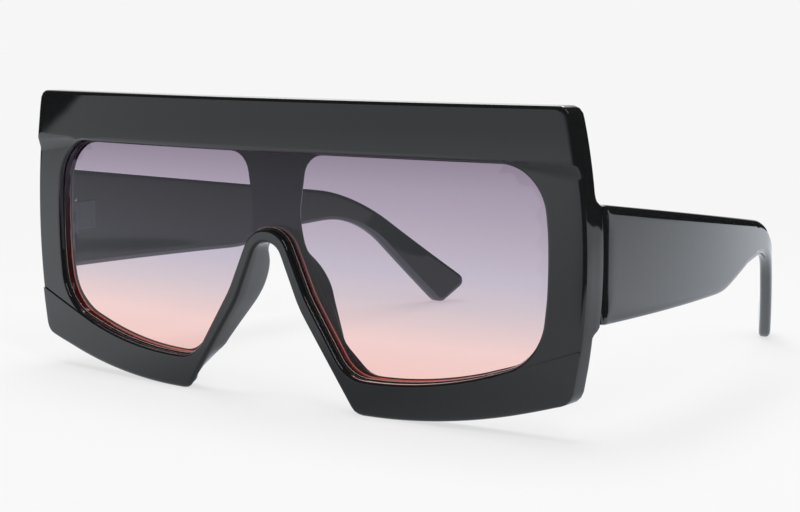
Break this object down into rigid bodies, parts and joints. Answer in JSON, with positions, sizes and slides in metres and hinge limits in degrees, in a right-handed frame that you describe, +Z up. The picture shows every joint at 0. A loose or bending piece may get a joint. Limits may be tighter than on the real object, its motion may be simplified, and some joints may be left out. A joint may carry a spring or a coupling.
{
  "type": "oversized sunglasses",
  "caption": "Oversized shield sunglasses with a wrapped black front, proud brow, one gradient lens and folding temples on screw hinges.",
  "frame": {"origin": "on the surface the sunglasses stand on, below the middle of their box", "axes": "+X towards the wearer's left, +Y from the front towards the temple tips, +Z up"},
  "size_m": [0.1544, 0.1468, 0.0665],
  "materials": {
    "black_plastic": "moulded black plastic, polished to a high gloss",
    "tinted_lens": "clear plastic lens with a tint that runs from lilac at the top to pale pink below",
    "temple_plastic": "moulded black plastic, polished, with softened edges",
    "hinge_metal": "nickel-plated hinge leaves",
    "screw_metal": "bright slotted screws"
  },
  "bodies": {
    "front": {"front_frame": "black_plastic", "shield_lens": "tinted_lens", "front_hinge_left": "hinge_metal", "front_hinge_right": "hinge_metal", "hinge_screws": "screw_metal"},
    "temple_left": {"temple_left": "temple_plastic", "temple_hinge_left": "hinge_metal"},
    "temple_right": {"temple_right": "temple_plastic", "temple_hinge_right": "hinge_metal"}
  },
  "joints": [
    {"name": "temple_left_fold", "type": "hinge", "parent": "front", "child": "temple_left", "pos_m": [0.0732, -0.05977, 0.035], "axis": [0, 0, 1], "range_deg": [0, 80]},
    {"name": "temple_right_fold", "type": "hinge", "parent": "front", "child": "temple_right", "pos_m": [-0.0732, -0.05977, 0.035], "axis": [0, 0, -1], "range_deg": [0, 73]}
  ]
}
